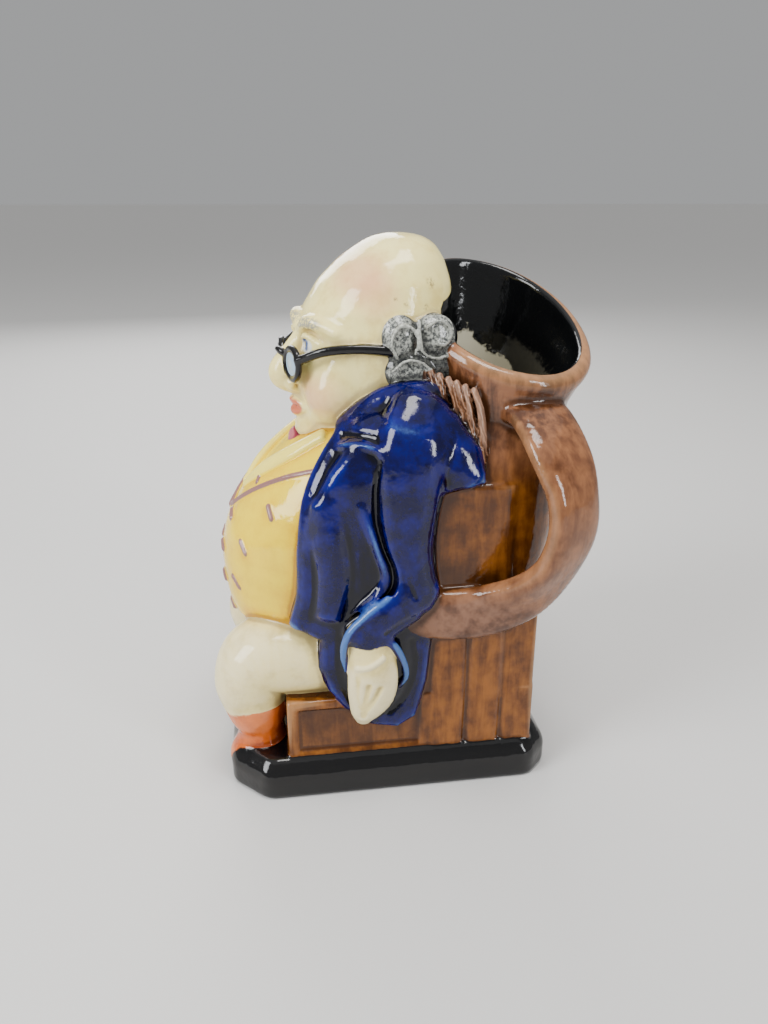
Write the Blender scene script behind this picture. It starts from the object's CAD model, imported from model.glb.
"""Toby jug: a stout gentleman in a planked chair, one glazed earthenware piece.

Lengths are millimetres in the frame's axes until they become mesh vertices: +Z up, the figure
faces -Y, the handle is on the +X side and the underside is z = 0. The floor and the lights are
placed in metres.
"""
import math

import bpy
import numpy as np
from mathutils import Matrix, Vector


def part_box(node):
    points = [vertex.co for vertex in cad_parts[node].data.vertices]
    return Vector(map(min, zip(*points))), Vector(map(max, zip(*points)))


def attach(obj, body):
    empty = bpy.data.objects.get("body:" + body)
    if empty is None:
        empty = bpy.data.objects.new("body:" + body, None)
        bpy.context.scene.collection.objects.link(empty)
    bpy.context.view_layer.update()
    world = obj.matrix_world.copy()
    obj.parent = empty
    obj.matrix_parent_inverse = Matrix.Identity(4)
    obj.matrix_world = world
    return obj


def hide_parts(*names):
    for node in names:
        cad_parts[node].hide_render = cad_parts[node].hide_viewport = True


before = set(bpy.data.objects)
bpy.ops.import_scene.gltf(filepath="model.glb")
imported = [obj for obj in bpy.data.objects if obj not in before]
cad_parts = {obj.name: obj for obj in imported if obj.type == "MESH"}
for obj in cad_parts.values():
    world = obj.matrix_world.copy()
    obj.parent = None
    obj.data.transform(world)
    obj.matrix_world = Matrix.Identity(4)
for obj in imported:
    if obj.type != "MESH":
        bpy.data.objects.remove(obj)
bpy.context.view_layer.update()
node_low, node_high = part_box("toby_jug")
HEIGHT = 160.0
UNIT = (node_high.z - node_low.z) / HEIGHT

# Driving dimensions, the same as the solid's
HALF_CHAIR = 36.5
SEAT_FRONT = 32.0
CHAIR_REAR = 43.0
SEAT_HEIGHT = 31.0
CHAIR_BOX_TOP = 64.0
ARM_FRONT = 11.0
ARM_REAR = 34.0
ARM_HEIGHT = 96.0
WALL = 4.0
NECK_HEIGHT = 111.0
NECK = (30.5, 19.75, 35.25)
RIM = (32.5, 26.5, 36.5)
RIM_HEIGHT = 135.5
RIM_RISE_TO_RIGHT = 13.5
RIM_RISE_TO_FRONT = 4.5
HEAD_TURN = math.radians(8)
FAR_LEG_BACK = 3.0

# Lesser dimensions
BASE_HALF_WIDTH = 40.5
BASE_HALF_LENGTH = 49.5
BASE_TOP = 12.3
BASE_SHOULDER = 8.2
FRONT_CHAMFER = 10.7
REAR_CHAMFER = 7.3
CHAIR_FOOT = 6.0
SIDE_PLANK_GROOVES = (22, 33)
REAR_PLANK_GROOVES = (5.5, 16.5, 27.5)
PLANK_GROOVE = [0.8, 0.8]
LENS_X = 8.6

# Ways in which a swept oval's thickness points
SIDEWAYS = [1, 0, 0]
FORWARD = [0, -1, 0]
UPWARD = [0, 0, 1]

# The grid on which the form is measured
STEP = 0.6
LOW = np.array([-50.0, -57.0, -1.9])
HIGH = np.array([58.0, 68.0, 163.5])
COUNT = np.ceil((HIGH - LOW) / STEP).astype(int) + 1
FAR = 9.0
TRIANGLES = 194000
PIECE = "toby_jug_glazed"
EDGE_REACH = 0.9
BROAD_REACH = 2.2


# Distance fields: a shape is (function of x, y, z, lowest corner, highest corner)

def smooth_min(a, b, k):
    h = np.maximum(k - np.abs(a - b), 0) / k
    return np.minimum(a, b) - h * h * (k / 4)


def smooth_max(a, b, k):
    return -smooth_min(-a, -b, k)


def field():
    return np.full(COUNT, FAR, np.float32)


def window(low, high, margin=3.5):
    """The part of the grid round a shape's box, as slices and open coordinate arrays."""
    first = np.clip(np.floor((np.asarray(low) - margin - LOW) / STEP), 0, COUNT - 1).astype(int)
    last = np.clip(np.ceil((np.asarray(high) + margin - LOW) / STEP) + 1, 1, COUNT).astype(int)
    cut = tuple(slice(a, b) for a, b in zip(first, last))
    axes = [LOW[i] + STEP * np.arange(first[i], last[i]) for i in range(3)]
    x, y, z = np.meshgrid(*[axis.astype(np.float32) for axis in axes], indexing="ij", sparse=True)
    return cut, x, y, z


def add(grid, shape, k=1.5):
    function, low, high = shape
    cut, x, y, z = window(low, high)
    grid[cut] = smooth_min(grid[cut], function(x, y, z).astype(np.float32), k)


def carve(grid, shape, k=1.0):
    function, low, high = shape
    cut, x, y, z = window(low, high)
    grid[cut] = smooth_max(grid[cut], -function(x, y, z).astype(np.float32), k)


def flipped(shape, back=0.0):
    """The shape's mirror image on the other side, moved back by some length."""
    function, low, high = shape

    def distance(x, y, z):
        return function(-x[::-1], y - back, z)[::-1]

    mirror_low = np.array([-high[0], low[1] + back, low[2]])
    mirror_high = np.array([-low[0], high[1] + back, high[2]])
    return distance, mirror_low, mirror_high


def add_pair(grid, shape, k=1.5, back=0.0):
    add(grid, shape, k)
    add(grid, flipped(shape, back), k)


def carve_pair(grid, shape, k=1.0):
    carve(grid, shape, k)
    carve(grid, flipped(shape), k)


def curve(points, count):
    """Places along a smooth curve through the points."""
    p = np.array(points, float)
    p = np.vstack([2 * p[0] - p[1], p, 2 * p[-1] - p[-2]])
    t = np.linspace(0, len(points) - 1, count + 1)
    i = np.minimum(t.astype(int), len(points) - 2)
    f = (t - i)[:, None]
    a, b, c, d = p[i], p[i + 1], p[i + 2], p[i + 3]
    bend = (2 * a - 5 * b + 4 * c - d) * f**2 + (3 * b - a - 3 * c + d) * f**3
    return 0.5 * (2 * b + (c - a) * f + bend)


def turn_about(axis, angle):
    c, s = math.cos(angle), math.sin(angle)
    if axis == "x":
        return np.array([[1, 0, 0], [0, c, -s], [0, s, c]])
    if axis == "y":
        return np.array([[c, 0, s], [0, 1, 0], [-s, 0, c]])
    return np.array([[c, -s, 0], [s, c, 0], [0, 0, 1]])


def oval(centre, radii, turn=None):
    """An ellipsoid, turned by a rotation matrix."""
    c = np.array(centre, float)
    r = np.array(radii, float)
    m = np.eye(3) if turn is None else turn

    def distance(x, y, z):
        px, py, pz = x - c[0], y - c[1], z - c[2]
        local = [m[0, i] * px + m[1, i] * py + m[2, i] * pz for i in range(3)]
        q = np.sqrt(sum((local[i] / r[i]) ** 2 for i in range(3)))
        g = np.sqrt(sum((local[i] / r[i] ** 2) ** 2 for i in range(3)))
        return q * (q - 1) / np.maximum(g, 1e-4)

    reach = np.sqrt((m**2) @ (r**2))
    return distance, c - reach, c + reach


def strap(places, sections, aims, squareness=2.0, spacing=1.5):
    """A swept oval; each section is (half width, half thickness along the aim).

    One section or one aim alone holds for all places.
    """
    places = np.array(places, float)
    if np.ndim(sections) == 1:
        sections = [sections] * len(places)
    length = np.linalg.norm(np.diff(places, axis=0), axis=1).sum()
    count = max(int(length / spacing), len(places))
    centres = curve(places, count)
    sizes = np.maximum(curve(sections, count), 0.15)
    if np.ndim(aims) == 1:
        aims = [aims] * len(places)
    normals = curve(aims, count)
    reach = sizes.max()
    n = squareness

    def distance(x, y, z):
        whole = np.full((x.shape[0], y.shape[1], z.shape[2]), FAR, np.float32)
        for i in range(count):
            a, b = centres[i], centres[i + 1]
            along = b - a
            run = np.linalg.norm(along)
            along = along / run
            normal = (normals[i] + normals[i + 1]) / 2
            normal = normal - along * (normal @ along)
            normal = normal / np.linalg.norm(normal)
            across = np.cross(along, normal)
            span = max(sizes[i].max(), sizes[i + 1].max()) + 4
            low, high = np.minimum(a, b) - span, np.maximum(a, b) + span
            cut = []
            for axis, values in enumerate((x[:, 0, 0], y[0, :, 0], z[0, 0, :])):
                first, last = np.searchsorted(values, [low[axis], high[axis]])
                cut.append(slice(first, last))
            if any(c.start >= c.stop for c in cut):
                continue
            px, py, pz = x[cut[0]] - a[0], y[:, cut[1]] - a[1], z[:, :, cut[2]] - a[2]
            t = px * along[0] + py * along[1] + pz * along[2]
            share = np.clip(t / run, 0, 1)
            w = sizes[i, 0] + (sizes[i + 1, 0] - sizes[i, 0]) * share
            h = sizes[i, 1] + (sizes[i + 1, 1] - sizes[i, 1]) * share
            beyond = t - share * run
            u = np.abs(px * across[0] + py * across[1] + pz * across[2]) / w
            v = np.abs(px * normal[0] + py * normal[1] + pz * normal[2]) / h
            e = np.abs(beyond) / np.minimum(w, h)
            q = np.maximum((u**n + v**n + e**n) ** (1 / n), 1e-3)
            slope = np.sqrt((u ** (n - 1) / w) ** 2 + (v ** (n - 1) / h) ** 2 + (e ** (n - 1) / h) ** 2)
            d = (q - 1) * q ** (n - 1) / np.maximum(slope, 1e-4)
            part = tuple(cut)
            whole[part] = np.minimum(whole[part], d)
        return whole

    return distance, centres.min(0) - reach, centres.max(0) + reach


def ridges(grid, k, places, sections, aims=SIDEWAYS, squareness=2.0):
    """A swept oval raised on both sides of the figure."""
    add_pair(grid, strap(places, sections, aims, squareness), k)


def grooves(grid, k, places, sections, aims=SIDEWAYS):
    """A swept oval cut into both sides of the figure."""
    carve_pair(grid, strap(places, sections, aims), k)


def block(low, high, rounding):
    c = (np.array(low, float) + np.array(high, float)) / 2
    half = (np.array(high, float) - np.array(low, float)) / 2 - rounding

    def distance(x, y, z):
        q = [np.abs(v - c[i]) - half[i] for i, v in enumerate((x, y, z))]
        outer = np.sqrt(sum(np.maximum(v, 0) ** 2 for v in q))
        return outer + np.minimum(np.maximum(np.maximum(q[0], q[1]), q[2]), 0) - rounding

    return distance, np.array(low, float), np.array(high, float)


def table_of(rows, blur):
    """The rows' columns along z, interpolated and softened; the last column is the half width's slope."""
    rows = np.array(rows, float)
    z = np.arange(rows[0, 0] - 12, rows[-1, 0] + 12, 0.25)
    width = int(blur / 0.25) * 2 + 1
    kernel = np.hanning(width + 2)[1:-1]
    kernel = kernel / kernel.sum()
    columns = []
    for i in range(1, rows.shape[1]):
        raw = np.interp(z, rows[:, 0], rows[:, i])
        padded = np.pad(raw, width // 2, mode="edge")
        columns.append(np.convolve(padded, kernel, mode="valid"))
    columns.append(np.gradient(columns[1] + columns[2], z) / 2)
    return z, columns


def loft(rows, low_z, high_z, height_of=None, inset=0.0, blur=3.0):
    """Squared ovals on top of each other; each row is z, centre y, half width, front, rear, squareness."""
    at, columns = table_of(rows, blur)
    widest = max(row[2] for row in rows)

    def distance(x, y, z):
        w = z if height_of is None else height_of(x, y, z)
        cy, half, front, rear, n, slope = [np.interp(w, at, c).astype(np.float32) for c in columns]
        depth = np.where(y < cy, front, rear) - inset
        half = half - inset
        q = np.maximum((np.abs(x / half) ** n + np.abs((y - cy) / depth) ** n) ** (1 / n), 1e-3)
        radius = np.sqrt(x**2 + (y - cy) ** 2) + 1e-4
        return (radius - radius / q) / np.sqrt(1 + slope**2)

    low = np.array([-widest, min(r[1] - r[3] for r in rows), low_z])
    high = np.array([widest, max(r[1] + r[4] for r in rows), high_z])
    return distance, low, high


def between(shape, low_z, high_z, k=0.6):
    function, low, high = shape

    def distance(x, y, z):
        return smooth_max(smooth_max(function(x, y, z), low_z - z, k), z - high_z, k)

    return distance, low, high


def outline_distance(outline, y, z):
    """Signed distance to a closed outline in the y, z plane."""
    p = np.array(outline, float)
    best = np.full(np.broadcast(y, z).shape, 1e9)
    crossings = np.zeros(best.shape, int)
    for a, b in zip(p, np.roll(p, -1, axis=0)):
        e = b - a
        t = np.clip(((y - a[0]) * e[0] + (z - a[1]) * e[1]) / (e @ e), 0, 1)
        best = np.minimum(best, (y - a[0] - t * e[0]) ** 2 + (z - a[1] - t * e[1]) ** 2)
        between_ends = (z >= min(a[1], b[1])) & (z < max(a[1], b[1]))
        if a[1] != b[1]:
            meet = a[0] + (z - a[1]) * e[0] / e[1]
            crossings += (between_ends & (y < meet)).astype(int)
    return np.where(crossings % 2 == 1, -1, 1) * np.sqrt(best)


# The forms

def base_shape():
    """A slab with chamfered corners and a sloping shoulder."""
    diagonal = 0.7071

    def distance(x, y, z):
        corner = BASE_HALF_WIDTH + BASE_HALF_LENGTH - np.where(y < 0, FRONT_CHAMFER, REAR_CHAMFER)
        ax, ay = np.abs(x), np.abs(y)
        side = smooth_max(ax - BASE_HALF_WIDTH, ay - BASE_HALF_LENGTH, 1.2)
        side = smooth_max(side, (ax + ay - corner) * diagonal, 2.0)
        shoulder = (side + (z - BASE_SHOULDER) * 0.82) / 1.29
        d = smooth_max(side, shoulder, 1.6)
        return smooth_max(smooth_max(d, z - BASE_TOP, 1.2), -z, 1.6)

    half = np.array([BASE_HALF_WIDTH, BASE_HALF_LENGTH, 0])
    return distance, -half, half + [0, 0, BASE_TOP + 0.2]


def rim_height(x, y):
    return RIM_HEIGHT - RIM_RISE_TO_RIGHT * x / RIM[0] - RIM_RISE_TO_FRONT * (y - RIM[2]) / RIM[1]


def level_height(x, y, z):
    """The height on an upright vessel of a place on the slanted one."""
    up = (z - NECK_HEIGHT) / (rim_height(x, y) - NECK_HEIGHT)
    return np.where(z > NECK_HEIGHT, NECK_HEIGHT + up * (RIM_HEIGHT - NECK_HEIGHT), z)


def vessel_rows():
    rows = [
        [27, 31, 35.5, 20, 11, 4], [57, 31, 35.5, 20, 11.2, 4], [67, 31, 35.7, 20, 16.5, 3.4],
        [78, 31, 35.9, 18, 20.5, 3], [92, 31, 36.1, 18, 22.5, 2.8], [103, 31, 34.3, 18, 23.5, 2.6],
    ]
    for up, out in [(0, 0), (0.3, 0.16), (0.58, 0.5), (0.84, 0.9), (1, 1)]:
        half = NECK[0] + (RIM[0] - NECK[0]) * out
        depth = NECK[1] + (RIM[1] - NECK[1]) * out
        middle = NECK[2] + (RIM[2] - NECK[2]) * out
        z = NECK_HEIGHT + up * (RIM_HEIGHT - NECK_HEIGHT)
        rows.append([z, middle, half, depth, depth, 2.5 - 0.4 * out])
    return rows


def vessel_shape(inset, low_z, over_rim):
    above_rim = 152
    function, low, high = loft(vessel_rows(), low_z, above_rim, level_height, inset)

    def distance(x, y, z):
        top = (z - rim_height(x, y) - over_rim) * 0.9
        return smooth_max(smooth_max(function(x, y, z), top, 1.0), low_z - z, 1.0)

    return distance, low - 1, high + 1


def rim_lip():
    """The rolled edge round the mouth."""
    steps = 40
    inset = 2.3
    power = 2 / 2.1
    places = []
    for i in range(steps + 1):
        a = 2 * math.pi * i / steps
        across = math.copysign(abs(math.cos(a)) ** power, math.cos(a))
        along = math.copysign(abs(math.sin(a)) ** power, math.sin(a))
        x = (RIM[0] - inset) * across
        y = RIM[2] + (RIM[1] - inset) * along
        places.append([x, y, rim_height(x, y) - 0.4])
    return strap(places, [2.5, 2.6], UPWARD)


def handle_shape():
    """From the neck, out and down to the chair's side."""
    places = [
        [23.5, 38, 115.5], [32.5, 41, 113], [42, 43.5, 105.6], [46.8, 46, 96.1], [48, 46.3, 84.9],
        [46.2, 42.8, 73.7], [43.2, 35.5, 64.7], [39.5, 25.5, 59.1], [37.9, 15, 58], [36, 6, 59],
    ]
    half_widths = [9.5, 9.5, 9.8, 9, 9, 9, 8.6, 8, 7.7, 7.5]
    half_thicknesses = [4.3] + [3.3] * 9
    aims = [
        [0.5, 0.2, 1], [0.6, 0.2, 0.8], [0.8, 0.35, 0.5], [0.85, 0.5, 0.1], [0.85, 0.5, 0],
        [0.85, 0.5, -0.2], [0.9, 0.3, -0.1], [1, 0.1, 0], SIDEWAYS, SIDEWAYS,
    ]
    return strap(places, list(zip(half_widths, half_thicknesses)), aims, 2.7)


def chair_field():
    d = field()
    add(d, block([-HALF_CHAIR, -SEAT_FRONT, CHAIR_FOOT], [HALF_CHAIR, CHAIR_REAR, SEAT_HEIGHT], 1.0), 0.4)
    add(d, block([-HALF_CHAIR, ARM_FRONT, CHAIR_FOOT], [HALF_CHAIR, CHAIR_REAR, CHAIR_BOX_TOP], 1.3), 0.8)
    add(d, block([-HALF_CHAIR, ARM_FRONT, CHAIR_FOOT], [HALF_CHAIR, ARM_REAR, ARM_HEIGHT], 1.3), 0.8)
    behind_coat = HALF_CHAIR - 0.5
    add(d, block([-behind_coat, 2, 20], [behind_coat, ARM_FRONT + 2, CHAIR_BOX_TOP - 1], 0.6), 0.3)
    for y in SIDE_PLANK_GROOVES:
        x = HALF_CHAIR
        places = [[x + 0.2, y, 12], [x, y + 0.3, 40], [x + 0.1, y - 0.2, 64]]
        grooves(d, 1.2, places, PLANK_GROOVE)
    for x in REAR_PLANK_GROOVES:
        y = CHAIR_REAR
        places = [[x, y + 0.2, 12], [x + 0.3, y, 40], [x, y + 0.1, 64]]
        grooves(d, 1.2, places, PLANK_GROOVE, FORWARD)
    seat_panel = block([HALF_CHAIR - 1.0, -29, 13.5], [HALF_CHAIR + 3, 8, 28], 0.9)
    carve_pair(d, seat_panel, 0.8)
    return d


def drapery_field():
    """Flutes behind the shoulder, fanned from front to rear."""
    d = field()
    flutes = 7
    sections = [[0.85, 1.5], [1.0, 2.0], [1.05, 2.0], [0.8, 1.8]]
    for i in range(flutes):
        s = i / (flutes - 1)
        y = 13.2 + 10.8 * s
        x = 25.0 + 7.2 * s
        wave = 0.5 * math.sin(2.4 * i)
        places = [
            [x - 2.6, y - 3.6 + 2 * s, 126 - 5 * s], [x - 0.6, y - 0.4 + wave, 115],
            [x + 1.0, y + 0.8, 105 - wave], [x + 2.2, y + 1.2 * (1 - s), 96.5],
        ]
        ridges(d, 0.25, places, sections, [1, -0.45, 0])
    return d


COAT_OUTLINE = [
    [-9, 111], [-17.5, 101], [-24, 89], [-26.5, 76], [-27.5, 63], [-30, 54.5], [-21.5, 50.5], [-22.5, 42],
    [-19.5, 34], [-14.5, 28], [-7, 22], [1, 20.5], [6.5, 24], [9.5, 36], [11, 52], [11.5, 94], [25, 97],
    [23, 107], [14, 118], [2, 117],
]


def coat_side():
    """The coat's flat side over the chair, from the shoulder to the tail."""
    inner = 27.0
    rounding = 2.2

    def distance(x, y, z):
        front = np.maximum(-8 - y, 0)
        up = np.maximum(z - 96, 0)
        outer = 38.6 - 0.012 * front**2 - 0.03 * up**2
        d2 = outline_distance(COAT_OUTLINE, y, z) + rounding
        dx = np.maximum(x - outer, inner - x) + rounding
        outside = np.sqrt(np.maximum(d2, 0) ** 2 + np.maximum(dx, 0) ** 2)
        return outside + np.minimum(np.maximum(d2, dx), 0) - rounding

    return distance, np.array([inner, -30, 20.5]), np.array([39, 25, 118])


def shoulder_crease():
    places = [[33.4, -2.2, 114.0], [35.6, 1.0, 112.2], [37.0, 4.2, 111.2], [36.8, 8.4, 112.2]]
    return strap(places, [[0.3, 0.3], [0.7, 1.1], [0.7, 1.2], [0.3, 0.4]], [0.9, 0, 0.4])


def sleeve_groove():
    """The deep groove between the coat's front panel and the sleeve, down to the cuff."""
    places = [
        [38.4, -4.4, 104.5], [39.2, -5.4, 99], [39.6, -5.6, 93], [39.8, -5.2, 87], [40.2, -3.4, 79.5],
        [40.8, -1.2, 73], [40.8, -1.8, 68], [40.4, -6.2, 63.4], [39.9, -12, 59.4], [39.2, -16.6, 55],
    ]
    sections = [
        [0.5, 1.0], [0.9, 1.9], [1.0, 2.3], [1.0, 2.3], [1.0, 2.5],
        [1.0, 2.5], [1.0, 2.2], [1.1, 2.0], [1.1, 1.8], [0.9, 1.0],
    ]
    return strap(places, sections, SIDEWAYS)


def rear_groove():
    """The groove between the sleeve and the chair's arm."""
    places = [[38.0, 12.0, 95], [38.6, 11.3, 90], [38.8, 10.9, 82], [38.8, 11.1, 74], [38.6, 12.4, 68]]
    return strap(places, [[0.6, 0.8], [0.9, 1.6], [0.9, 1.7], [0.9, 1.6], [0.6, 0.8]], SIDEWAYS)


def coat_field():
    d = field()
    shoulders = oval([0, 5.5, 99], [39, 19, 21.5])
    add(d, shoulders, 1)
    add_pair(d, coat_side(), 2.5)

    collar = [[21, -12, 110], [24.2, -3, 117.5], [25.4, 6, 120], [24.5, 14, 119], [20, 19, 117]]
    ridges(d, 2, collar, [[2.6, 2.4], [3.2, 2.6], [3.2, 2.6], [3, 2.4], [2, 2]], [0.8, 0, 0.6])
    front_edge = [
        [22, -8, 112], [26.5, -16, 103], [31, -22, 92],
        [33.4, -24.5, 78], [33.8, -25, 66], [32.6, -27.6, 55.5],
    ]
    sections = [[3.0, 2.0], [3.4, 2.3], [3.2, 2.3], [2.8, 2.1], [2.6, 2.0], [2.2, 1.7]]
    ridges(d, 1.6, front_edge, sections, [0.8, -0.6, 0])
    front_swell = [[36.0, -19.5, 92], [37.6, -18.5, 82], [38.0, -17.5, 72], [37.6, -19, 60]]
    ridges(d, 3, front_swell, [[2.5, 1.2], [3.6, 1.7], [3.4, 1.6], [2.5, 1.0]], [1, -0.2, 0])

    shoulder = oval([23.5, 1, 105], [14, 15.5, 12.5])
    add_pair(d, shoulder, 3)
    shoulder_rear = [[32, 12, 111], [36.2, 17, 104], [37.8, 21, 98.8]]
    ridges(d, 2.5, shoulder_rear, [[7, 3.2], [6, 2.6], [3, 1.6]], [1, 0.2, 0.2])
    beside_sleeve = [[38.2, -9.6, 92], [38.8, -6.6, 84.6], [39, -4.2, 78], [39.2, -2.8, 72], [39.2, -4.8, 67]]
    ridges(d, 1.8, beside_sleeve, [[0.7, 0.7], [1.2, 1.1], [1.4, 1.3], [1.3, 1.1], [0.8, 0.7]])
    carve_pair(d, sleeve_groove(), 1.0)
    carve_pair(d, rear_groove(), 0.8)

    tail_front = [[39.5, -16.5, 52], [39.2, -17, 44], [38.6, -15, 36], [38.2, -11, 28.5]]
    grooves(d, 2.0, tail_front, [[1.2, 1.2], [1.8, 1.6], [1.7, 1.5], [1.0, 1.0]])
    tail_rear = [[39.3, 4.6, 50], [39.3, 5.6, 42], [39.0, 3.2, 33], [38.6, -1.5, 27]]
    grooves(d, 2.0, tail_rear, [[0.9, 0.9], [1.3, 1.2], [1.2, 1.1], [0.8, 0.8]])
    across_chest = [0.9, -0.3, 0.5]
    crease = [[27, -13.5, 109.5], [32.4, -9.5, 110.6], [35.6, -4.6, 110.2]]
    grooves(d, 2.0, crease, [[0.4, 0.5], [0.6, 0.9], [0.3, 0.4]], across_chest)
    fold = [[24.5, -15.5, 104.6], [31.5, -12.5, 107.4], [35.4, -7, 107.8], [37.4, -3.6, 106.8]]
    ridges(d, 1.2, fold, [[0.8, 0.7], [0.9, 1.0], [0.9, 1.1], [0.6, 0.8]], across_chest)
    carve_pair(d, shoulder_crease(), 1.2)
    return d


def sleeve_field():
    d = field()
    arm = [
        [28.5, 8, 114.5], [34.5, 5.5, 107], [36.8, 3.4, 93], [37.2, 3.2, 80],
        [37.4, 4.2, 71], [38.0, 2, 64.5], [38.8, -4.5, 59.2], [39.6, -8.6, 54.5],
    ]
    sections = [[9, 6], [10, 6.2], [9, 5.6], [7.2, 5.6], [7.1, 5.6], [7.4, 5.8], [7.0, 5.8], [6.6, 5.2]]
    ridges(d, 1, arm, sections, SIDEWAYS, 2.3)
    elbow = [[38, 7, 71], [38.6, 10.2, 67.4], [38, 8.4, 63.5]]
    ridges(d, 2.5, elbow, [[2.2, 3.4], [1.9, 3.2], [2.2, 3.4]])
    dip = [[42.8, -5.4, 85], [43.2, -4.2, 79], [43.4, -3.2, 75], [43.4, -2.9, 70.8], [43.6, -5.2, 66.6]]
    grooves(d, 1.6, dip, [[0.6, 1.4], [1.5, 3.2], [2.1, 4.0], [2.1, 4.0], [0.8, 2.0]])
    carve_pair(d, shoulder_crease(), 1.2)
    carve_pair(d, sleeve_groove(), 1.0)
    carve_pair(d, rear_groove(), 0.8)

    cuff_front = [
        [42.2, -2.6, 66.4], [42.9, -9.2, 61.4], [43.1, -13.1, 57.8],
        [42.9, -15.0, 53.8], [42.1, -15.4, 49], [40.6, -14.6, 43.5],
    ]
    ridges(d, 1.2, cuff_front, [[0.9, 0.9], [1.0, 1.1], [1.1, 1.2], [1.1, 1.2], [1.0, 1.0], [0.6, 0.6]])
    cuff_rear = [[42.9, -3.6, 54.6], [42.4, -0.6, 51], [41.2, 2.0, 45], [40.5, 2.7, 40], [39.4, 0.8, 36]]
    ridges(d, 1.0, cuff_rear, [[1.0, 1.1], [1.1, 1.2], [1.0, 1.2], [0.9, 1.0], [0.5, 0.6]])
    cuff_crease = [[45.0, -3.5, 56.4], [44.6, 0.4, 58.6], [43.8, 5, 60.2]]
    grooves(d, 1.5, cuff_crease, [0.7, 0.9])
    elbow_crease = [[44.2, 5.2, 66.4], [43.8, 2.6, 71.8], [43.4, 1.0, 78]]
    grooves(d, 1.8, elbow_crease, [[0.6, 0.8], [0.8, 1.0], [0.3, 0.4]])
    return d


def hand_field():
    d = field()
    hand = [
        [40.2, -8.5, 55.5], [41.2, -7.4, 47], [41.4, -7.0, 40.5],
        [40.8, -7.5, 34.5], [39.8, -9, 29.5], [38.8, -9.6, 25.8],
    ]
    ridges(d, 1, hand, [[5.8, 3.7], [6.8, 4.0], [7.3, 4.0], [6.8, 3.7], [4.8, 3.0], [2.6, 2.0]])
    knuckles = [[44.2, -11.6, 46], [45.1, -8.2, 46.8], [44.7, -4.6, 49]]
    ridges(d, 0.9, knuckles, [0.7, 0.8])
    between_fingers = [
        [[45.2, -11.8, 43], [44.9, -12.0, 38], [44.1, -11.4, 32.5], [42.9, -10.2, 28]],
        [[45.3, -5.4, 39.5], [44.9, -7.4, 35], [44.0, -9.3, 31], [42.9, -10, 28]],
        [[45.4, -8.6, 40.5], [45.0, -9.4, 36], [44.0, -10.1, 31.5]],
    ]
    for places in between_fingers:
        grooves(d, 1.1, places, [0.5, 0.75])
    return d


TRUNK_SQUARENESS = 2.35
TRUNK_BLUR = 5.0


def torso_rows():
    rows = [
        [26, 25, 28], [37, 29.5, 39.5], [45, 31.5, 45.5], [55, 32.8, 48.4], [67, 33.2, 49.3],
        [76, 32.8, 47.6], [84, 31.6, 43.5], [92, 30, 37.5], [99, 28, 30], [105, 25, 22.5],
        [110, 20, 15.5], [114, 14, 10],
    ]
    return [[z, 0, half, front, 20, TRUNK_SQUARENESS] for z, half, front in rows]


def waistcoat_field():
    d = field()
    top = 114
    function, low, high = loft(torso_rows(), 40, top, blur=TRUNK_BLUR)

    def distance(x, y, z):
        hem = 48.4 + 1.6 * np.exp(-((np.abs(x) - 25) / 10) ** 2)
        return smooth_max(smooth_max(function(x, y, z), hem - z, 1.4), z - top, 1.0)

    add(d, (distance, low, high), 0.5)
    return d


def lower_trunk_field():
    d = field()
    add(d, between(loft(torso_rows(), 24, 70, inset=1.1, blur=TRUNK_BLUR), 24, 70), 0.5)
    return d


def on_belly(x, z, proud=0.0):
    """A place on the waistcoat's front, or a little before it."""
    at, columns = table_of(torso_rows(), TRUNK_BLUR)
    half = np.interp(z, at, columns[1])
    front = np.interp(z, at, columns[2])
    share = max(1 - (abs(x) / half) ** TRUNK_SQUARENESS, 0.02)
    return [x, -front * share ** (1 / TRUNK_SQUARENESS) - proud, z]


def lapel_field():
    d = field()
    edge = [(15.5, 106, 0.6), (12, 100, 0.5), (7, 94, 0.4), (1.6, 88, 0.2)]
    places = [on_belly(x, z, proud) for x, z, proud in edge]
    ridges(d, 0.5, places, [[2.4, 1.5], [3, 1.6], [2.8, 1.5], [1.3, 1.0]], [0.1, -1, 0.5])
    return d


def trim_field():
    """The raised cord across the waistcoat, the buttons and the button slits."""
    d = field()
    ends = [(31, 103), (25, 99.5), (18, 94.5), (11, 89), (4, 83.5), (0, 81)]
    widest = 26.5
    cord = [on_belly(min(x, widest), z, 0.25) for x, z in ends]
    ridges(d, 0.3, cord, [0.75, 0.75], [0, -1, 0.2])
    for z in (80, 70, 60, 50):
        for x in (-6.0, 6.0):
            places = [on_belly(x - 1.7, z + 0.7, 0.1), on_belly(x + 1.7, z - 0.7, 0.1)]
            add(d, strap(places, [0.9, 0.9], FORWARD), 0.3)
    for x, z in ((21.4, 85.5), (18.6, 74), (8.5, 92.5), (16.2, 62)):
        for side in (-1, 1):
            places = [on_belly((x - 1.3) * side, z + 1.5, 0.1), on_belly((x + 1.3) * side, z - 1.5, 0.1)]
            add(d, strap(places, [0.7, 0.75], FORWARD), 0.3)
    return d


def neckcloth_field():
    """The cloth round the neck with its knot, two loops and two ends."""
    d = field()
    add(d, oval([0, -7, 105.5], [17, 15.5, 5.5], turn_about("x", -0.25)), 1)
    add(d, oval([1, -24.2, 102], [4.2, 3, 3.4]), 1.5)
    for side in (-1, 1):
        add(d, oval([1 + 4.6 * side, -22.8, 101.4], [4.2, 2.2, 2.6], turn_about("y", 0.3 * side)), 0.8)
        add(d, oval([1 + 2.4 * side, -25.6, 96.8], [1.9, 1.6, 4.4], turn_about("y", -0.3 * side)), 0.8)
    return d


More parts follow.
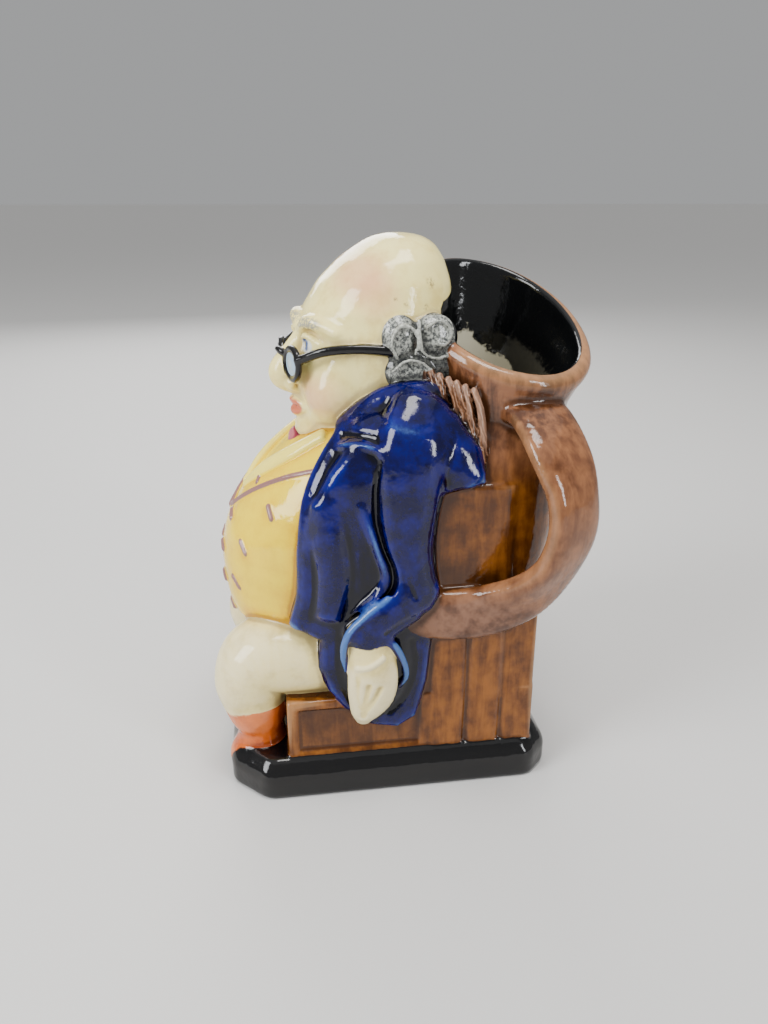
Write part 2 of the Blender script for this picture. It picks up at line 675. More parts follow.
def breeches_field():
    d = field()
    places = [
        [21, -14, 39], [22.5, -26, 40.5], [22.8, -38, 40],
        [23.5, -42, 34], [23.5, -41.5, 27], [23.5, -40.5, 22],
    ]
    sections = [[12.6, 12], [13.2, 12], [12.6, 11.6], [11, 11], [9.4, 9.4], [8.2, 7.8]]
    aims = [[0, 0, 1], [0, -0.2, 1], [0, -0.8, 0.8], [0, -1, 0.3], FORWARD, FORWARD]
    add_pair(d, strap(places, sections, aims, 2.15), 2, FAR_LEG_BACK)
    return d


def boot_field():
    d = field()
    places = [[23.5, -41.2, 28], [23.5, -41, 23.5], [23.5, -40, 17], [23.5, -40, 10], [23.5, -40, 3]]
    shaft = strap(places, [[10, 10.2], [9.3, 9.2], [7.4, 7.2], [7.7, 7.7], [8, 8.2]], FORWARD)
    foot = oval([24, -41.6, 7], [7.6, 8.4, 6], turn_about("z", 0.12))
    add_pair(d, between(shaft, 1.5, 26.6), 1.5, FAR_LEG_BACK)
    add_pair(d, foot, 2.5, FAR_LEG_BACK)
    return d


# The head, turned about an upright axis

HEAD = turn_about("z", HEAD_TURN)
HEAD_AXIS = np.array([0.0, -2.0, 0.0])


def on_head(x, y, z):
    return HEAD @ (np.array([x, y, z], float) - HEAD_AXIS) + HEAD_AXIS


def head_strap(places, sections, aims, squareness=2.0):
    turned = np.array(aims, float) @ HEAD.T
    return strap([on_head(*p) for p in places], sections, turned, squareness, 0.9)


def head_oval(centre, radii, turn=None):
    return oval(on_head(*centre), radii, HEAD if turn is None else HEAD @ turn)


def on_side(side, places):
    """Places given for the +X side, on that side or on the other."""
    return [[x * side, y, z] for x, y, z in places]


SKULL_ROWS = [
    [101, -5.5, 6, 11.5, 90], [102.5, -5.5, 9.5, 11.5, 90], [106, -5.75, 14.5, 15.75, 210],
    [111, -5.25, 18.2, 18.25, 331], [117, -3.9, 20.6, 20.4, 424], [124, -2.25, 21.8, 21.75, 475],
    [132, -0.95, 22.3, 22.25, 497], [140, 0.15, 22, 21.55, 484], [147, 2, 20.4, 19, 416],
    [153, 4.1, 17, 14.9, 292], [157.0, 5.8, 12.6, 10.4, 168], [159.0, 6.2, 9, 7.6, 76], [160.1, 6.2, 7, 6, 4],
    [161, 6.2, 7, 6, -62],
]


def skull_shape(inset):
    """The head without its features.

    Each row is z, centre y, half width, half depth and half width squared, which falls to nothing
    at the crown.
    """
    rows = np.array(SKULL_ROWS)
    z_at = np.arange(96, 170, 0.25)
    kernel = np.hanning(11)[1:-1]
    kernel = kernel / kernel.sum()
    n = 2.15

    def column(i):
        raw = np.interp(z_at, rows[:, 0], rows[:, i])
        return np.convolve(np.pad(raw, 4, mode="edge"), kernel, mode="valid")

    middle, half, depth, squared = [column(i) for i in range(1, 5)]
    rate = np.gradient(squared, z_at)
    ratio = depth / half

    def distance(x, y, z):
        hx = x * HEAD[0, 0] + (y + 2) * HEAD[1, 0]
        hy = x * HEAD[0, 1] + (y + 2) * HEAD[1, 1] - 2
        cy, e, a2, da2 = [np.interp(z, z_at, c).astype(np.float32) for c in (middle, ratio, squared, rate)]
        m2 = np.maximum((np.abs(hx) ** n + np.abs((hy - cy) / e) ** n) ** (2 / n), 1e-4)
        d = (m2 - a2) / np.sqrt(4 * np.maximum(m2, a2) + da2**2 + 1)
        return smooth_max(d, 101 - z, 1.0) + inset

    return distance, np.array([-24, -27, 100]), np.array([24, 26, 160.5])


def head_field():
    d = field()
    add(d, skull_shape(0.0), 1)
    nose = [[0, -21, 133], [0, -25.4, 127.5], [0, -28.6, 121.8], [0, -24, 117.6]]
    nose_aims = [FORWARD, FORWARD, [0, -1, -0.4], [0, -0.4, -1]]
    add(d, head_strap(nose, [[2.6, 3], [3, 3.2], [4.2, 3.8], [3.2, 2.4]], nose_aims), 2.5)
    for side in (-1, 1):
        nostril = head_oval([3.9 * side, -25, 119.4], [2.5, 3, 2.3])
        add(d, nostril, 1.2)
        cheek = head_oval([12 * side, -16.5, 118.5], [7.6, 6.8, 7.6])
        add(d, cheek, 4)
        brow = on_side(side, [[3.4, -22.6, 135.3], [9.5, -21.8, 137.4], [16.5, -16, 135]])
        brow_aims = on_side(side, [[0, -1, 0.2], [0.3, -1, 0.2], [0.7, -1, 0]])
        add(d, head_strap(brow, [[1.7, 1.6], [2.0, 1.8], [1.2, 1.2]], brow_aims), 2.2)
        socket = head_oval([8.8 * side, -23.2, 131.2], [5.0, 2.6, 3.4])
        carve(d, socket, 2.2)
        eye = head_oval([8.8 * side, -19.9, 131], [4.0, 3.1, 2.9])
        add(d, eye, 0.8)
        upper_lid = on_side(side, [[4.9, -22.2, 131.2], [8.8, -22.9, 133.7], [13, -19.6, 131.6]])
        add(d, head_strap(upper_lid, [[0.75, 0.9], [0.9, 1.0], [0.75, 0.9]], FORWARD), 0.5)
        lower_lid = on_side(side, [[5.1, -22.2, 130.6], [8.8, -22.6, 128.4], [12.8, -19.8, 130.4]])
        add(d, head_strap(lower_lid, [[0.7, 0.8], [0.8, 0.9], [0.7, 0.8]], FORWARD), 0.6)
        cheek_line = on_side(side, [[4.9, -25.4, 119.6], [8.2, -24.3, 114.6]])
        carve(d, head_strap(cheek_line, [[0.5, 0.5], [0.4, 0.4]], FORWARD), 1.6)
    upper_lip = [
        [-6.6, -22.6, 112.6], [-2, -25.1, 113.9], [0, -25.1, 113.5], [2, -25.1, 113.9], [6.6, -22.6, 112.6],
    ]
    sections = [[0.5, 0.6], [1.15, 1.2], [1.05, 1.1], [1.15, 1.2], [0.5, 0.6]]
    add(d, head_strap(upper_lip, sections, FORWARD), 0.8)
    lower_lip = [[-5.6, -22.7, 111.9], [0, -25.1, 110.9], [5.6, -22.7, 111.9]]
    add(d, head_strap(lower_lip, [[0.5, 0.6], [1.45, 1.4], [0.5, 0.6]], FORWARD), 0.6)
    chin = head_oval([0, -19.3, 106], [7.4, 5.8, 4.8])
    add(d, chin, 2.5)
    return d


def hair_field():
    """Lobes over each ear with raised curls on them."""
    d = field()
    lobes = [
        ([21.2, 0.6, 133.6], [3.8, 5.4, 6.6], 0.15), ([20.4, 10.2, 133.4], [4.6, 7.2, 6.6], 0.0),
        ([20.8, 4.2, 124.6], [4.6, 8.2, 6.2], -0.15), ([20.0, 13.2, 126.4], [4.6, 6.6, 5.8], -0.2),
    ]
    for (x, y, z), radii, tilt in lobes:
        for side in (-1, 1):
            add(d, head_oval([x * side, y, z], radii, turn_about("x", tilt)), 1.3)
    curls = [
        [[25.2, -1.4, 129.2], [25.4, -3.0, 133.4], [25.0, -0.6, 137.4],
         [25.0, 3.0, 136.8], [25.6, 4.4, 133.2], [25.4, 3.6, 130.0]],
        [[25.2, 4.6, 139], [25.8, 5.0, 134], [25.8, 6.0, 130.2], [25.4, 10.6, 128.6], [24.4, 15.2, 130.2]],
        [[24.6, 6.6, 136.6], [25.0, 10.4, 138.6], [24.8, 14.0, 136], [25.0, 12.6, 132.4], [25.2, 9.4, 132.6]],
        [[25.2, -2.6, 125.6], [25.6, 1.2, 128.4], [25.8, 5.6, 127.6], [25.4, 9, 124.4], [24.8, 10.6, 121.4]],
        [[24.8, -1.8, 121.6], [25.4, 2.2, 119.6], [25.4, 6.6, 119.8]],
    ]
    for curl in curls:
        for side in (-1, 1):
            add(d, head_strap(on_side(side, curl), [0.45, 0.5], SIDEWAYS), 1.0)
    return d


def frame_field():
    """Spectacle frames: round rims, arms and a bridge."""
    d = field()
    steps = 16
    for side in (-1, 1):
        rim = []
        for i in range(steps + 1):
            a = 2 * math.pi * i / steps
            out = 5 * math.cos(a)
            rim.append([LENS_X + out, -26.8 + 0.16 * out, 126 + 4.3 * math.sin(a)])
        add(d, head_strap(on_side(side, rim), [1.0, 1.0], FORWARD), 0.4)
        arm = [[13.4, -26, 127.6], [18.4, -19.6, 130.6], [21.6, -10.5, 131.4], [23.0, -0.5, 130.4]]
        add(d, head_strap(on_side(side, arm), [1.3, 1.2], SIDEWAYS, 2.6), 0.4)
    bridge = [[-4, -27.2, 127.5], [0, -29.4, 129], [4, -27.2, 127.5]]
    add(d, head_strap(bridge, [0.9, 0.9], FORWARD), 0.4)
    return d


def lens_field():
    d = field()
    for side in (-1, 1):
        add(d, head_oval([LENS_X * side, -26.5, 126], [4.9, 0.9, 4.2], turn_about("z", 0.16 * side)), 0.4)
    return d


def hollow_field():
    """The air inside: vessel, chair, seat and trunk."""
    d = field()
    floor = 5.0
    add(d, vessel_shape(WALL, floor, 8.0), 1)
    inner = HALF_CHAIR - WALL
    rear = CHAIR_REAR - WALL
    add(d, block([-inner, -SEAT_FRONT + WALL, floor], [inner, rear, SEAT_HEIGHT - WALL], 1.5), 1)
    add(d, block([-inner, ARM_FRONT + WALL, floor], [inner, rear, CHAIR_BOX_TOP - WALL], 1.5), 1)
    rows = [[z, 0, half, front, 28 + WALL, n] for z, _, half, front, _, n in torso_rows()]
    trunk = loft(rows, 26, 110, inset=WALL, blur=TRUNK_BLUR)
    add(d, between(trunk, 26, 110), 1)
    return d


def skull_hollow_field():
    d = field()
    add(d, skull_shape(WALL), 1)
    throat = oval([0, -2, 102], [8, 8, 14])
    add(d, throat, 1)
    return d


def build_fields():
    """The whole body's field, the zones in the order they are painted, and the air inside."""
    wood = chair_field()
    add(wood, vessel_shape(0.0, 27.0, 0.0), 1.2)
    add(wood, rim_lip(), 1.2)
    add(wood, handle_shape(), 1.6)
    base = field()
    add(base, base_shape(), 0.5)
    zones = {
        "wood": wood, "flutes": drapery_field(), "base": base, "breeches": lower_trunk_field(),
        "waistcoat": waistcoat_field(), "lapel": lapel_field(), "neckcloth": neckcloth_field(),
        "coat": coat_field(), "sleeve": sleeve_field(), "hand": hand_field(), "boot": boot_field(),
        "trim": trim_field(), "head": head_field(), "hair": hair_field(), "frame": frame_field(),
        "lens": lens_field(),
    }
    zones["breeches"] = smooth_min(zones["breeches"], breeches_field(), 2.0)
    hollow = hollow_field()
    skull_hollow = skull_hollow_field()
    blends = {
        "base": 0.9, "flutes": 0.9, "breeches": 0.9, "waistcoat": 0.9, "coat": 0.9, "sleeve": 1.6,
        "hand": 0.9, "boot": 0.9, "lapel": 0.5, "trim": 0.5, "neckcloth": 0.9,
    }
    body = zones["wood"]
    for name, k in blends.items():
        body = smooth_min(body, zones[name], k)
    body = smooth_max(body, -hollow, 1.0)
    for name in ("head", "hair", "frame", "lens"):
        body = smooth_min(body, zones[name], 0.6)
    body = smooth_max(body, -skull_hollow, 1.0)
    return body, zones, np.minimum(hollow, skull_hollow)


def softened(grid, reach):
    """A blur of the field, from which raised edges and recesses are told apart."""
    out = np.clip(grid, -3.0, 3.0)
    width = max(int(round(reach / STEP)), 1)
    for axis in range(3):
        for _ in range(2):
            total = np.zeros_like(out)
            for shift in range(-width, width + 1):
                total += np.roll(out, shift, axis)
            out = total / (2 * width + 1)
    return out


# From field to mesh

def sample(grid, points):
    """The field at places between grid points."""
    p = (points - LOW) / STEP
    p = np.clip(p, 0, COUNT - 1.001)
    i = p.astype(int)
    f = (p - i).astype(np.float32)
    total = np.zeros(len(points), np.float32)
    for corner in range(8):
        dx, dy, dz = corner & 1, corner >> 1 & 1, corner >> 2 & 1
        weight = np.where(dx, f[:, 0], 1 - f[:, 0]) * np.where(dy, f[:, 1], 1 - f[:, 1])
        weight = weight * np.where(dz, f[:, 2], 1 - f[:, 2])
        total += weight * grid[i[:, 0] + dx, i[:, 1] + dy, i[:, 2] + dz]
    return total


def slope_at(grid, points, reach):
    out = np.zeros((len(points), 3), np.float32)
    for axis in range(3):
        shift = np.zeros(3)
        shift[axis] = reach
        out[:, axis] = sample(grid, points + shift) - sample(grid, points - shift)
    return out / (2 * reach)


def surface_net(grid):
    """Quads through the cells that the surface crosses."""
    inside = grid < 0
    cells = [n - 1 for n in grid.shape]
    part = [slice(0, n) for n in cells]
    far = [slice(1, n + 1) for n in cells]

    def corner(array, dx, dy, dz):
        return array[(far if dx else part)[0], (far if dy else part)[1], (far if dz else part)[2]]

    count = np.zeros(cells, np.int8)
    for c in range(8):
        count += corner(inside, c & 1, c >> 1 & 1, c >> 2 & 1)
    crossed = (count > 0) & (count < 8)
    at = np.argwhere(crossed)
    number = np.full(cells, -1, np.int64)
    number[crossed] = np.arange(len(at))
    centre = np.zeros((len(at), 3))
    hits = np.zeros(len(at))
    for axis in range(3):
        for a in (0, 1):
            for b in (0, 1):
                start = np.zeros(3, int)
                start[(axis + 1) % 3], start[(axis + 2) % 3] = a, b
                end = start.copy()
                end[axis] = 1
                p, q = at + start, at + end
                va, vb = grid[p[:, 0], p[:, 1], p[:, 2]], grid[q[:, 0], q[:, 1], q[:, 2]]
                cross = (va < 0) != (vb < 0)
                t = np.where(cross, va / np.where(cross, va - vb, 1), 0)
                place = start + (end - start) * t[:, None]
                centre += np.where(cross[:, None], place, 0)
                hits += cross
    vertices = LOW + STEP * (at + centre / hits[:, None])
    quads = []
    for axis in range(3):
        a, b = (axis + 1) % 3, (axis + 2) % 3
        low = [slice(0, n) for n in grid.shape]
        high = list(low)
        low[axis], high[axis] = slice(0, -1), slice(1, None)
        first, second = inside[tuple(low)], inside[tuple(high)]
        edges = np.argwhere(first != second)
        rows = edges[(edges[:, a] > 0) & (edges[:, b] > 0)]
        rows = rows[(rows[:, a] < cells[a]) & (rows[:, b] < cells[b])]
        outward = first[rows[:, 0], rows[:, 1], rows[:, 2]]
        around = []
        for da, db in ((-1, -1), (0, -1), (0, 0), (-1, 0)):
            cell = rows.copy()
            cell[:, a] += da
            cell[:, b] += db
            around.append(number[cell[:, 0], cell[:, 1], cell[:, 2]])
        quad = np.stack(around, 1)
        quads.append(np.where(outward[:, None], quad, quad[:, ::-1]))
    return vertices, np.vstack(quads)


def mesh_from(vertices, faces, name):
    size = faces.shape[1]
    mesh = bpy.data.meshes.new(name)
    mesh.vertices.add(len(vertices))
    mesh.vertices.foreach_set("co", (vertices * UNIT).astype(np.float32).ravel())
    mesh.loops.add(faces.size)
    mesh.loops.foreach_set("vertex_index", faces.astype(np.int32).ravel())
    mesh.polygons.add(len(faces))
    mesh.polygons.foreach_set("loop_start", np.arange(0, faces.size, size, dtype=np.int32))
    mesh.update(calc_edges=True)
    return mesh


def make_jug():
    """The mesh with its normals and the values that the glaze is painted from."""
    body, zones, hollow = build_fields()
    edges = softened(body, EDGE_REACH)
    broad = softened(body, BROAD_REACH)
    vertices, quads = surface_net(body)
    mesh = mesh_from(vertices, quads, PIECE)
    jug = bpy.data.objects.new(PIECE, mesh)
    bpy.context.scene.collection.objects.link(jug)
    fewer = jug.modifiers.new("fewer", "DECIMATE")
    fewer.ratio = min(TRIANGLES / (2 * len(quads)), 1.0)
    graph = bpy.context.evaluated_depsgraph_get()
    final = bpy.data.meshes.new_from_object(jug.evaluated_get(graph))
    jug.modifiers.clear()
    jug.data = final
    final.name = PIECE

    co = np.zeros(len(final.vertices) * 3, np.float32)
    final.vertices.foreach_get("co", co)
    points = co.reshape(-1, 3).astype(float) / UNIT
    for _ in range(3):
        slope = slope_at(body, points, STEP * 0.5)
        size = np.maximum((slope**2).sum(1), 0.3)
        move = slope * (sample(body, points) / size)[:, None]
        points = points - np.clip(move, -0.25, 0.25)
    points[:, 2] = np.maximum(points[:, 2], 0.0)
    final.vertices.foreach_set("co", (points * UNIT).astype(np.float32).ravel())

    values = {name: sample(zone, points) for name, zone in zones.items()}
    names = list(values)
    stack = np.stack([values[n] for n in names])
    for i, name in enumerate(names[1:], 1):
        store(final, "zone_" + name, stack[:i].min(0) - stack[i])
    store(final, "air", sample(hollow, points))
    store(final, "edge", sample(edges, points))
    store(final, "broad", sample(broad, points))
    normals = slope_at(body, points, STEP * 0.75)
    normals = normals / np.maximum(np.linalg.norm(normals, axis=1, keepdims=True), 1e-6)
    final.polygons.foreach_set("use_smooth", np.ones(len(final.polygons), bool))
    final.normals_split_custom_set_from_vertices(normals.tolist())
    final.update()
    return jug


def store(mesh, name, values):
    attribute = mesh.attributes.new(name, "FLOAT", "POINT")
    attribute.data.foreach_set("value", values.astype(np.float32))


# The glaze

def linear(red, green, blue):
    """A screen colour, 0 to 255, as the shader takes it."""
    out = []
    for v in (red, green, blue):
        v = v / 255
        out.append(v / 12.92 if v <= 0.04045 else ((v + 0.055) / 1.055) ** 2.4)
    return tuple(out)


class Nodes:
    """Short forms for building a material's nodes."""

    def __init__(self, material):
        material.use_nodes = True
        self.tree = material.node_tree
        self.tree.nodes.clear()

    def new(self, kind, inputs, **settings):
        made = self.tree.nodes.new(kind)
        for key, value in settings.items():
            setattr(made, key, value)
        for key, value in inputs.items():
            self.put(made.inputs[key], value)
        return made

    def put(self, socket, value):
        if isinstance(value, bpy.types.NodeSocket):
            self.tree.links.new(value, socket)
        elif isinstance(value, tuple) and len(value) == 3 and socket.type == "RGBA":
            socket.default_value = (*value, 1.0)
        else:
            socket.default_value = value

    def finish(self, **inputs):
        """The shader and the output; Base_Color stands for the input Base Color."""
        named = {key.replace("_", " "): value for key, value in inputs.items()}
        shader = self.new("ShaderNodeBsdfPrincipled", named)
        self.new("ShaderNodeOutputMaterial", {"Surface": shader.outputs["BSDF"]})

    def attribute(self, name):
        return self.new("ShaderNodeAttribute", {}, attribute_name=name).outputs["Fac"]

    def math(self, operation, a, b=0.0):
        return self.new("ShaderNodeMath", {0: a, 1: b}, operation=operation).outputs[0]

    def vector(self, operation, a, b, result="Vector"):
        return self.new("ShaderNodeVectorMath", {0: a, 1: b}, operation=operation).outputs[result]

    def plus(self, a, b):
        return self.math("ADD", a, b)

    def times(self, a, b):
        return self.math("MULTIPLY", a, b)

    def step(self, value, low, high):
        """0 below low, 1 above high."""
        inputs = {"Value": value, "From Min": low, "From Max": high}
        return self.new("ShaderNodeMapRange", inputs, interpolation_type="SMOOTHSTEP").outputs["Result"]

    def below(self, value, low, high):
        """The step of the value turned round: 0 above -low, 1 below -high."""
        return self.step(self.times(value, -1.0), low, high)

    def mix(self, share, a, b):
        made = self.new("ShaderNodeMix", {"Factor": share}, data_type="RGBA")
        colours = [s for s in made.inputs if s.type == "RGBA"]
        self.put(colours[0], a)
        self.put(colours[1], b)
        return [s for s in made.outputs if s.type == "RGBA"][0]

    def two_tone(self, pattern, low, high, first, second):
        return self.mix(self.step(pattern, low, high), linear(*first), linear(*second))

    def tint(self, under, amount, share, colour):
        """A colour laid over another, as strongly as the amount times the share."""
        return self.mix(self.times(amount, share), under, linear(*colour))


class Glaze(Nodes):
    """The patterns and the wear that the glaze's colours share."""

    def __init__(self, material):
        super().__init__(material)
        coordinates = self.new("ShaderNodeTexCoord", {}).outputs["Object"]
        self.place = self.vector("MULTIPLY", coordinates, (1 / UNIT,) * 3)
        self.x, self.y, self.z = self.new("ShaderNodeSeparateXYZ", {0: self.place}).outputs

        self.wobble = self.noise(0.35, 2.0)
        self.blotch = self.noise(0.16, 3.0, 0.6)
        self.fine = self.noise(1.3, 3.0, 0.6)
        self.cloudy = self.noise(0.07, 4.0, 0.65)
        self.streak = self.noise(0.34, 4.0, 0.6, (1.0, 1.0, 0.16), 0.4)
        self.grain = self.plus(self.times(self.streak, 0.55), self.times(self.blotch, 0.45))

        self.edge = self.attribute("edge")
        self.broad = self.attribute("broad")
        self.worn = self.plus(self.plus(self.edge, self.times(self.broad, 0.35)), self.swing(self.fine, 0.12))
        self.raised = self.step(self.worn, 0.02, 0.3)
        self.sunk = self.below(self.worn, 0.02, 0.3)

    def swing(self, pattern, width):
        """A pattern's swing to both sides of nothing."""
        return self.times(self.math("SUBTRACT", pattern, 0.5), width)

    def noise(self, scale, detail, roughness=0.55, stretch=None, distortion=0.0):
        place = self.place
        if stretch is not None:
            place = self.vector("MULTIPLY", place, stretch)
        inputs = {"Vector": place, "Scale": scale, "Detail": detail, "Roughness": roughness}
        inputs["Distortion"] = distortion
        return self.new("ShaderNodeTexNoise", inputs).outputs["Fac"]

    def blob(self, centre, radii, soft):
        """1 within an ellipsoid, fading out past it."""
        scaled = self.vector("DIVIDE", self.vector("SUBTRACT", self.place, tuple(centre)), radii)
        length = self.vector("LENGTH", scaled, (0, 0, 0), "Value")
        return self.below(length, -1 - soft, -1 + soft)

    def shaded(self, plain, light, dark, light_share, dark_share):
        """A colour with its own tones on raised edges and in the recesses."""
        tone = self.tint(plain, self.raised, light_share, light)
        return self.tint(tone, self.sunk, dark_share, dark)

    def zone(self, name, under, over, soft=0.12, uneven=0.5):
        """A colour over one part of the jug, with a slightly uneven border."""
        margin = self.plus(self.attribute("zone_" + name), self.swing(self.wobble, uneven))
        return self.mix(self.step(margin, -soft, soft), under, over)


def wood_colour(g):
    """Brown planks, a paler mantle round the neck and handle, and dark recesses."""
    wood = g.two_tone(g.grain, 0.36, 0.64, (82, 44, 12), (138, 82, 28))
    mantle = g.two_tone(g.grain, 0.3, 0.7, (96, 60, 40), (148, 98, 64))
    near_neck = g.times(g.blob((32, 28, 120), (15, 24, 13), 0.5), 0.85)
    mantle = g.mix(near_neck, mantle, g.two_tone(g.grain, 0.4, 0.6, (66, 40, 27), (132, 86, 57)))
    upper = g.math("MAXIMUM", g.step(g.z, 92, 106), g.step(g.x, 39.0, 42.0))
    wood = g.mix(upper, wood, mantle)
    handle_root = g.times(g.blob((41, 20, 58), (9, 20, 8), 0.5), 0.8)
    wood = g.mix(handle_root, wood, g.two_tone(g.blotch, 0.4, 0.65, (70, 46, 36), (124, 90, 72)))
    wood = g.tint(wood, g.step(g.cloudy, 0.5, 0.72), 0.75, (66, 34, 12))
    for x in (-35.5, 35.5):
        seat_panel = g.blob((x, -11, 21), (3, 20, 7.5), 0.5)
        wood = g.tint(wood, seat_panel, 0.5, (62, 34, 12))
    wood = g.tint(wood, g.step(g.worn, 0.3, 0.7), 0.3, (204, 156, 108))
    return g.tint(wood, g.sunk, 0.8, (52, 26, 8))


def drapery_colour(g):
    """Brown with fine upright strands, pale on their crests."""
    flutes = g.two_tone(g.streak, 0.36, 0.64, (70, 42, 26), (118, 78, 50))
    lean = g.plus(g.y, g.times(g.z, 0.3))
    strand = g.math("SINE", g.times(g.plus(lean, g.times(g.wobble, 2.5)), 5.2))
    flutes = g.tint(flutes, g.step(strand, 0.5, 0.95), 0.5, (186, 146, 120))
    flutes = g.tint(flutes, g.below(strand, 0.4, 0.95), 0.7, (40, 22, 12))
    flutes = g.tint(flutes, g.step(g.worn, 0.35, 0.65), 0.3, (200, 162, 138))
    return g.tint(flutes, g.sunk, 0.9, (34, 18, 10))


def coat_colour(g):
    """Deep cobalt, nearly black in the recesses and pale blue where the glaze ran thin on the edges."""
    cobalt = g.two_tone(g.blotch, 0.38, 0.68, (2, 2, 46), (4, 5, 88))
    cobalt = g.tint(cobalt, g.step(g.cloudy, 0.5, 0.7), 0.45, (2, 2, 36))
    cobalt = g.tint(cobalt, g.step(g.fine, 0.6, 0.75), 0.3, (12, 20, 130))
    crest = g.plus(g.plus(g.edge, g.times(g.broad, 0.12)), g.swing(g.fine, 0.12))
    cobalt = g.tint(cobalt, g.step(crest, 0.2, 0.4), 0.25, (20, 36, 140))
    cobalt = g.tint(cobalt, g.step(crest, 0.38, 0.62), 0.6, (84, 128, 188))
    return g.tint(cobalt, g.below(g.worn, 0.02, 0.22), 0.95, (2, 2, 8))


def hair_colour(g):
    grey = g.two_tone(g.noise(1.0, 4.0, 0.8), 0.42, 0.6, (66, 68, 68), (176, 178, 168))
    grey = g.tint(grey, g.step(g.worn, 0.3, 0.65), 0.4, (196, 198, 186))
    return g.tint(grey, g.sunk, 0.75, (22, 24, 25))


def skin_colour(g):
    """Cream with blushes, brows, eyes, lips and a few brown specks."""
    skin = g.two_tone(g.blotch, 0.4, 0.75, (250, 234, 154), (234, 212, 128))
    skin = g.tint(skin, g.sunk, 0.5, (176, 148, 108))
    blushes = [
        ((14, -7, 150), (9, 8, 6), 0.55), ((20, -3, 145), (5, 6, 6), 0.4), ((-5, -8, 155), (8, 7, 4), 0.4),
    ]
    for centre, radii, share in blushes:
        skin = g.tint(skin, g.blob(centre, radii, 0.6), share, (222, 150, 124))
    for side in (-1, 1):
        cheek = g.blob(on_head(13.5 * side, -19, 118), (6.5, 7, 5.5), 0.55)
        skin = g.tint(skin, cheek, 0.5, (226, 132, 118))
        brow = g.blob(on_head(9.5 * side, -22.5, 137), (8.2, 3.4, 1.9), 0.35)
        skin = g.tint(skin, g.times(brow, g.step(g.fine, 0.38, 0.56)), 0.75, (112, 120, 132))
        white = g.blob(on_head(8.8 * side, -22.6, 131), (3.4, 2.4, 2.0), 0.12)
        skin = g.mix(white, skin, linear(240, 240, 232))
        gaze = on_head(8.7 * side, -22.9, 131.2)
        iris = g.blob(gaze, (1.75, 2.2, 1.75), 0.14)
        skin = g.mix(iris, skin, linear(60, 96, 160))
        pupil = g.blob(gaze, (0.8, 2.0, 0.8), 0.2)
        skin = g.mix(pupil, skin, linear(12, 14, 20))
    lips = g.blob(on_head(0, -25, 112.3), (6.4, 2.6, 2.6), 0.15)
    skin = g.tint(skin, lips, 0.85, (196, 62, 56))
    specks = [
        ((16.4, 12.5, 147.7), 1.3), ((20.5, 2.3, 144), 0.5),
        ((20.5, 5, 142.5), 0.6), ((18.7, 10.8, 141.7), 0.8),
    ]
    for centre, radius in specks:
        speck = g.times(g.blob(centre, (radius,) * 3, 0.6), g.step(g.fine, 0.4, 0.6))
        skin = g.tint(skin, speck, 0.7, (120, 84, 52))
    return skin


def mouth_colour(g, outside):
    """Black inside the neck with a wavy border over a cream band."""
    behind = g.math("MAXIMUM", g.math("SUBTRACT", g.y, 34.0), 0.0)
    waves = g.plus(g.times(g.blotch, 9.0), g.times(g.fine, 2.0))
    border = g.plus(g.plus(g.z, g.times(behind, 0.85)), waves)
    inside = g.two_tone(border, 133.2, 134.6, (206, 200, 176), (10, 11, 12))
    return g.mix(g.below(g.attribute("air"), -1.7, -1.3), outside, inside)


def glaze_material():
    material = bpy.data.materials.new("glaze")
    g = Glaze(material)
    black = g.shaded(linear(9, 9, 10), (26, 25, 25), (5, 5, 6), 0.4, 0.4)
    cobalt = coat_colour(g)
    cream = g.two_tone(g.blotch, 0.4, 0.75, (236, 217, 148), (212, 190, 118))
    cream = g.shaded(cream, (243, 234, 200), (146, 124, 80), 0.5, 0.55)
    yellow = g.two_tone(g.blotch, 0.4, 0.75, (240, 198, 0), (224, 174, 0))
    yellow = g.shaded(yellow, (252, 228, 40), (156, 100, 6), 0.4, 0.75)
    pale_yellow = g.shaded(linear(250, 218, 30), (252, 238, 130), (160, 112, 16), 0.6, 0.75)
    mauve = g.shaded(linear(112, 72, 70), (160, 120, 112), (60, 34, 30), 0.5, 0.6)
    maroon = g.shaded(linear(138, 48, 62), (206, 120, 130), (70, 18, 26), 0.7, 0.8)
    orange = g.two_tone(g.blotch, 0.4, 0.7, (206, 100, 34), (178, 76, 22))
    orange = g.shaded(orange, (232, 140, 84), (110, 36, 10), 0.5, 0.7)

    colour = g.zone("flutes", wood_colour(g), drapery_colour(g))
    colour = g.zone("base", colour, black)
    colour = g.zone("breeches", colour, cream)
    colour = g.zone("waistcoat", colour, yellow)
    colour = g.zone("lapel", colour, pale_yellow)
    colour = g.zone("neckcloth", colour, maroon)
    colour = g.zone("coat", colour, cobalt)
    colour = g.zone("sleeve", colour, cobalt)
    colour = g.zone("hand", colour, cream)
    colour = g.zone("boot", colour, orange)
    colour = g.zone("trim", colour, mauve, 0.15, 0.3)
    colour = g.zone("head", colour, skin_colour(g))
    colour = g.zone("hair", colour, hair_colour(g))
    colour = g.zone("frame", colour, black, 0.1, 0.1)
    colour = g.zone("lens", colour, linear(150, 178, 200), 0.1, 0.1)
    colour = mouth_colour(g, colour)

    ripple = g.plus(g.noise(0.22, 2.0), g.times(g.fine, 0.12))
    bump = g.new("ShaderNodeBump", {"Strength": 0.35, "Distance": 0.0005, "Height": ripple})
    roughness = g.plus(g.times(g.fine, 0.08), 0.05)
    g.finish(Base_Color=colour, Roughness=roughness, IOR=1.45, Normal=bump.outputs["Normal"])
    return material


# The scene

JUG_MIDDLE = Vector((0, 0, 0.08))


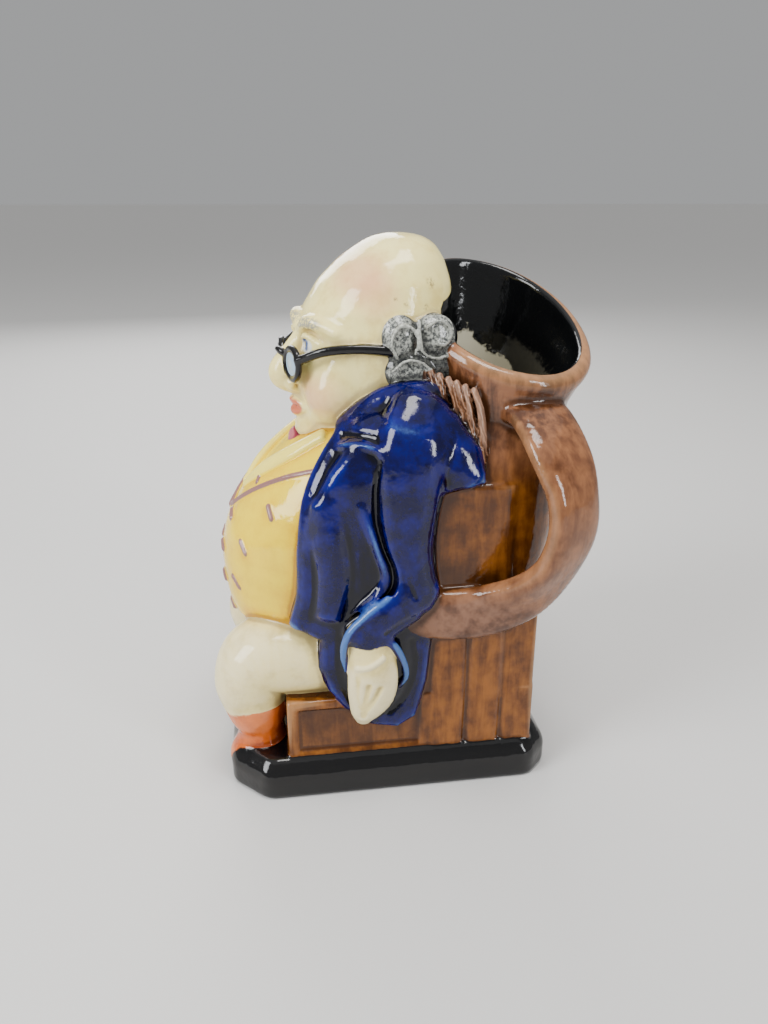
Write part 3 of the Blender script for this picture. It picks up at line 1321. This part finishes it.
def make_camera():
    azimuth, pitch = math.radians(8.24), math.radians(21.32)
    distance = 258.63
    target = Vector((0, 2.17, 75.47))
    level = math.cos(pitch)
    back = Vector((math.cos(azimuth) * level, -math.sin(azimuth) * level, math.sin(pitch)))
    data = bpy.data.cameras.new("camera")
    data.lens = 28.42
    data.sensor_width = 36
    data.clip_start = 0.01
    data.clip_end = 20
    camera = bpy.data.objects.new("camera", data)
    camera.location = (target + back * distance) * UNIT
    camera.rotation_mode = "QUATERNION"
    camera.rotation_quaternion = (-back).to_track_quat("-Z", "Y")
    bpy.context.scene.collection.objects.link(camera)
    bpy.context.scene.camera = camera


def area_light(name, place, size, power, colour=(1, 1, 1)):
    """A rectangular light aimed at the jug's middle."""
    data = bpy.data.lights.new(name, "AREA")
    data.shape = "RECTANGLE"
    data.size, data.size_y = size
    data.energy = power
    data.color = colour
    light = bpy.data.objects.new(name, data)
    light.location = place
    light.rotation_mode = "QUATERNION"
    light.rotation_quaternion = (JUG_MIDDLE - Vector(place)).to_track_quat("-Z", "Y")
    bpy.context.scene.collection.objects.link(light)


def make_floor():
    half = 20.0
    corners = [(-half, -half, 0), (half, -half, 0), (half, half, 0), (-half, half, 0)]
    mesh = bpy.data.meshes.new("floor")
    mesh.from_pydata(corners, [], [(0, 1, 2, 3)])
    floor = bpy.data.objects.new("floor", mesh)
    bpy.context.scene.collection.objects.link(floor)
    material = bpy.data.materials.new("floor")
    Nodes(material).finish(Base_Color=(0.58, 0.57, 0.555), Roughness=0.6)
    mesh.materials.append(material)


def make_lights():
    world = bpy.data.worlds.new("room")
    world.use_nodes = True
    background = world.node_tree.nodes["Background"]
    background.inputs["Color"].default_value = (0.86, 0.87, 0.88, 1)
    background.inputs["Strength"].default_value = 0.45
    bpy.context.scene.world = world

    area_light("window", (0.35, -0.75, 0.55), (0.4, 0.55), 11.5, (0.96, 0.98, 1.0))
    area_light("ceiling", (0.15, 0.1, 1.0), (0.5, 0.3), 7.5, (1.0, 0.98, 0.95))
    area_light("side", (0.7, 0.6, 0.4), (0.12, 0.5), 4.0, (0.95, 0.97, 1.0))
    soft_sun = bpy.data.lights.new("sky", "SUN")
    soft_sun.energy = 0.7
    soft_sun.angle = 1.5
    sky = bpy.data.objects.new("sky", soft_sun)
    bpy.context.scene.collection.objects.link(sky)
    area_light("far", (-0.8, -0.1, 0.5), (0.5, 0.5), 5.0)


make_camera()
jug = make_jug()
jug.data.materials.append(glaze_material())
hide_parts("toby_jug")
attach(jug, "root")
make_floor()
make_lights()
